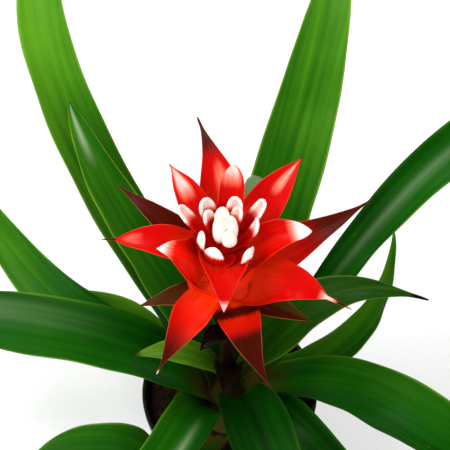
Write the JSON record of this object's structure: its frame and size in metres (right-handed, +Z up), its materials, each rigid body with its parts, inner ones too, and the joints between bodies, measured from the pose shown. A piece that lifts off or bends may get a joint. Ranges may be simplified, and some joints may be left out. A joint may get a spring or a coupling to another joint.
{
  "type": "potted bromeliad",
  "caption": "Star-shaped red bromeliad with white-tipped inner bracts and long arching green strap leaves, growing in a round dark plastic nursery pot.",
  "frame": {"origin": "middle of the pot's flat underside, which stands on the floor", "axes": "+Z up along the pot's axis; the flower's front faces -Y and +X is to its right"},
  "size_m": [0.5935, 0.5483, 0.3312],
  "materials": {
    "pot": "satin",
    "soil": "matte",
    "stem": "satin",
    "leaf": "satin",
    "stalk_leaf": "satin",
    "bract_red": "satin",
    "bract_dark": "satin",
    "bract_inner": "satin",
    "bud": "satin"
  },
  "bodies": {
    "root": {"bud_01": "bud", "bud_02": "bud", "bud_03": "bud", "bud_04": "bud", "inner_bract_01": "bract_inner", "inner_bract_02": "bract_inner", "inner_bract_03": "bract_inner", "inner_bract_04": "bract_inner", "inner_bract_05": "bract_inner", "inner_bract_06": "bract_inner", "inner_bract_07": "bract_inner", "inner_bract_08": "bract_inner", "inner_bract_09": "bract_inner", "inner_bract_10": "bract_inner", "inner_bract_11": "bract_inner", "leaf_01": "leaf", "leaf_02": "leaf", "leaf_03": "leaf", "leaf_04": "leaf", "leaf_05": "leaf", "leaf_06": "leaf", "leaf_07": "leaf", "leaf_08": "leaf", "leaf_09": "leaf", "leaf_10": "leaf", "leaf_11": "leaf", "leaf_12": "leaf", "leaf_13": "leaf", "leaf_14": "leaf", "pot": "pot", "soil": "soil", "stalk_leaf_01": "stalk_leaf", "stalk_leaf_02": "stalk_leaf", "stalk_leaf_03": "bract_dark", "stalk_leaf_04": "stalk_leaf", "stalk_leaf_05": "stalk_leaf", "stalk_leaf_06": "stalk_leaf", "stalk_leaf_07": "stalk_leaf", "stalk_leaf_08": "stalk_leaf", "star_bract_01": "bract_red", "star_bract_02": "bract_red", "star_bract_03": "bract_red", "star_bract_04": "bract_red", "star_bract_05": "bract_red", "star_bract_06": "bract_red", "star_bract_07": "bract_red", "star_bract_08": "bract_red", "star_bract_09": "bract_red", "star_bract_10": "bract_red", "star_bract_11": "bract_red", "star_bract_12": "bract_red", "star_bract_13": "bract_dark", "star_bract_14": "bract_dark", "star_bract_15": "bract_dark", "stem": "stem"}
  },
  "joints": []
}
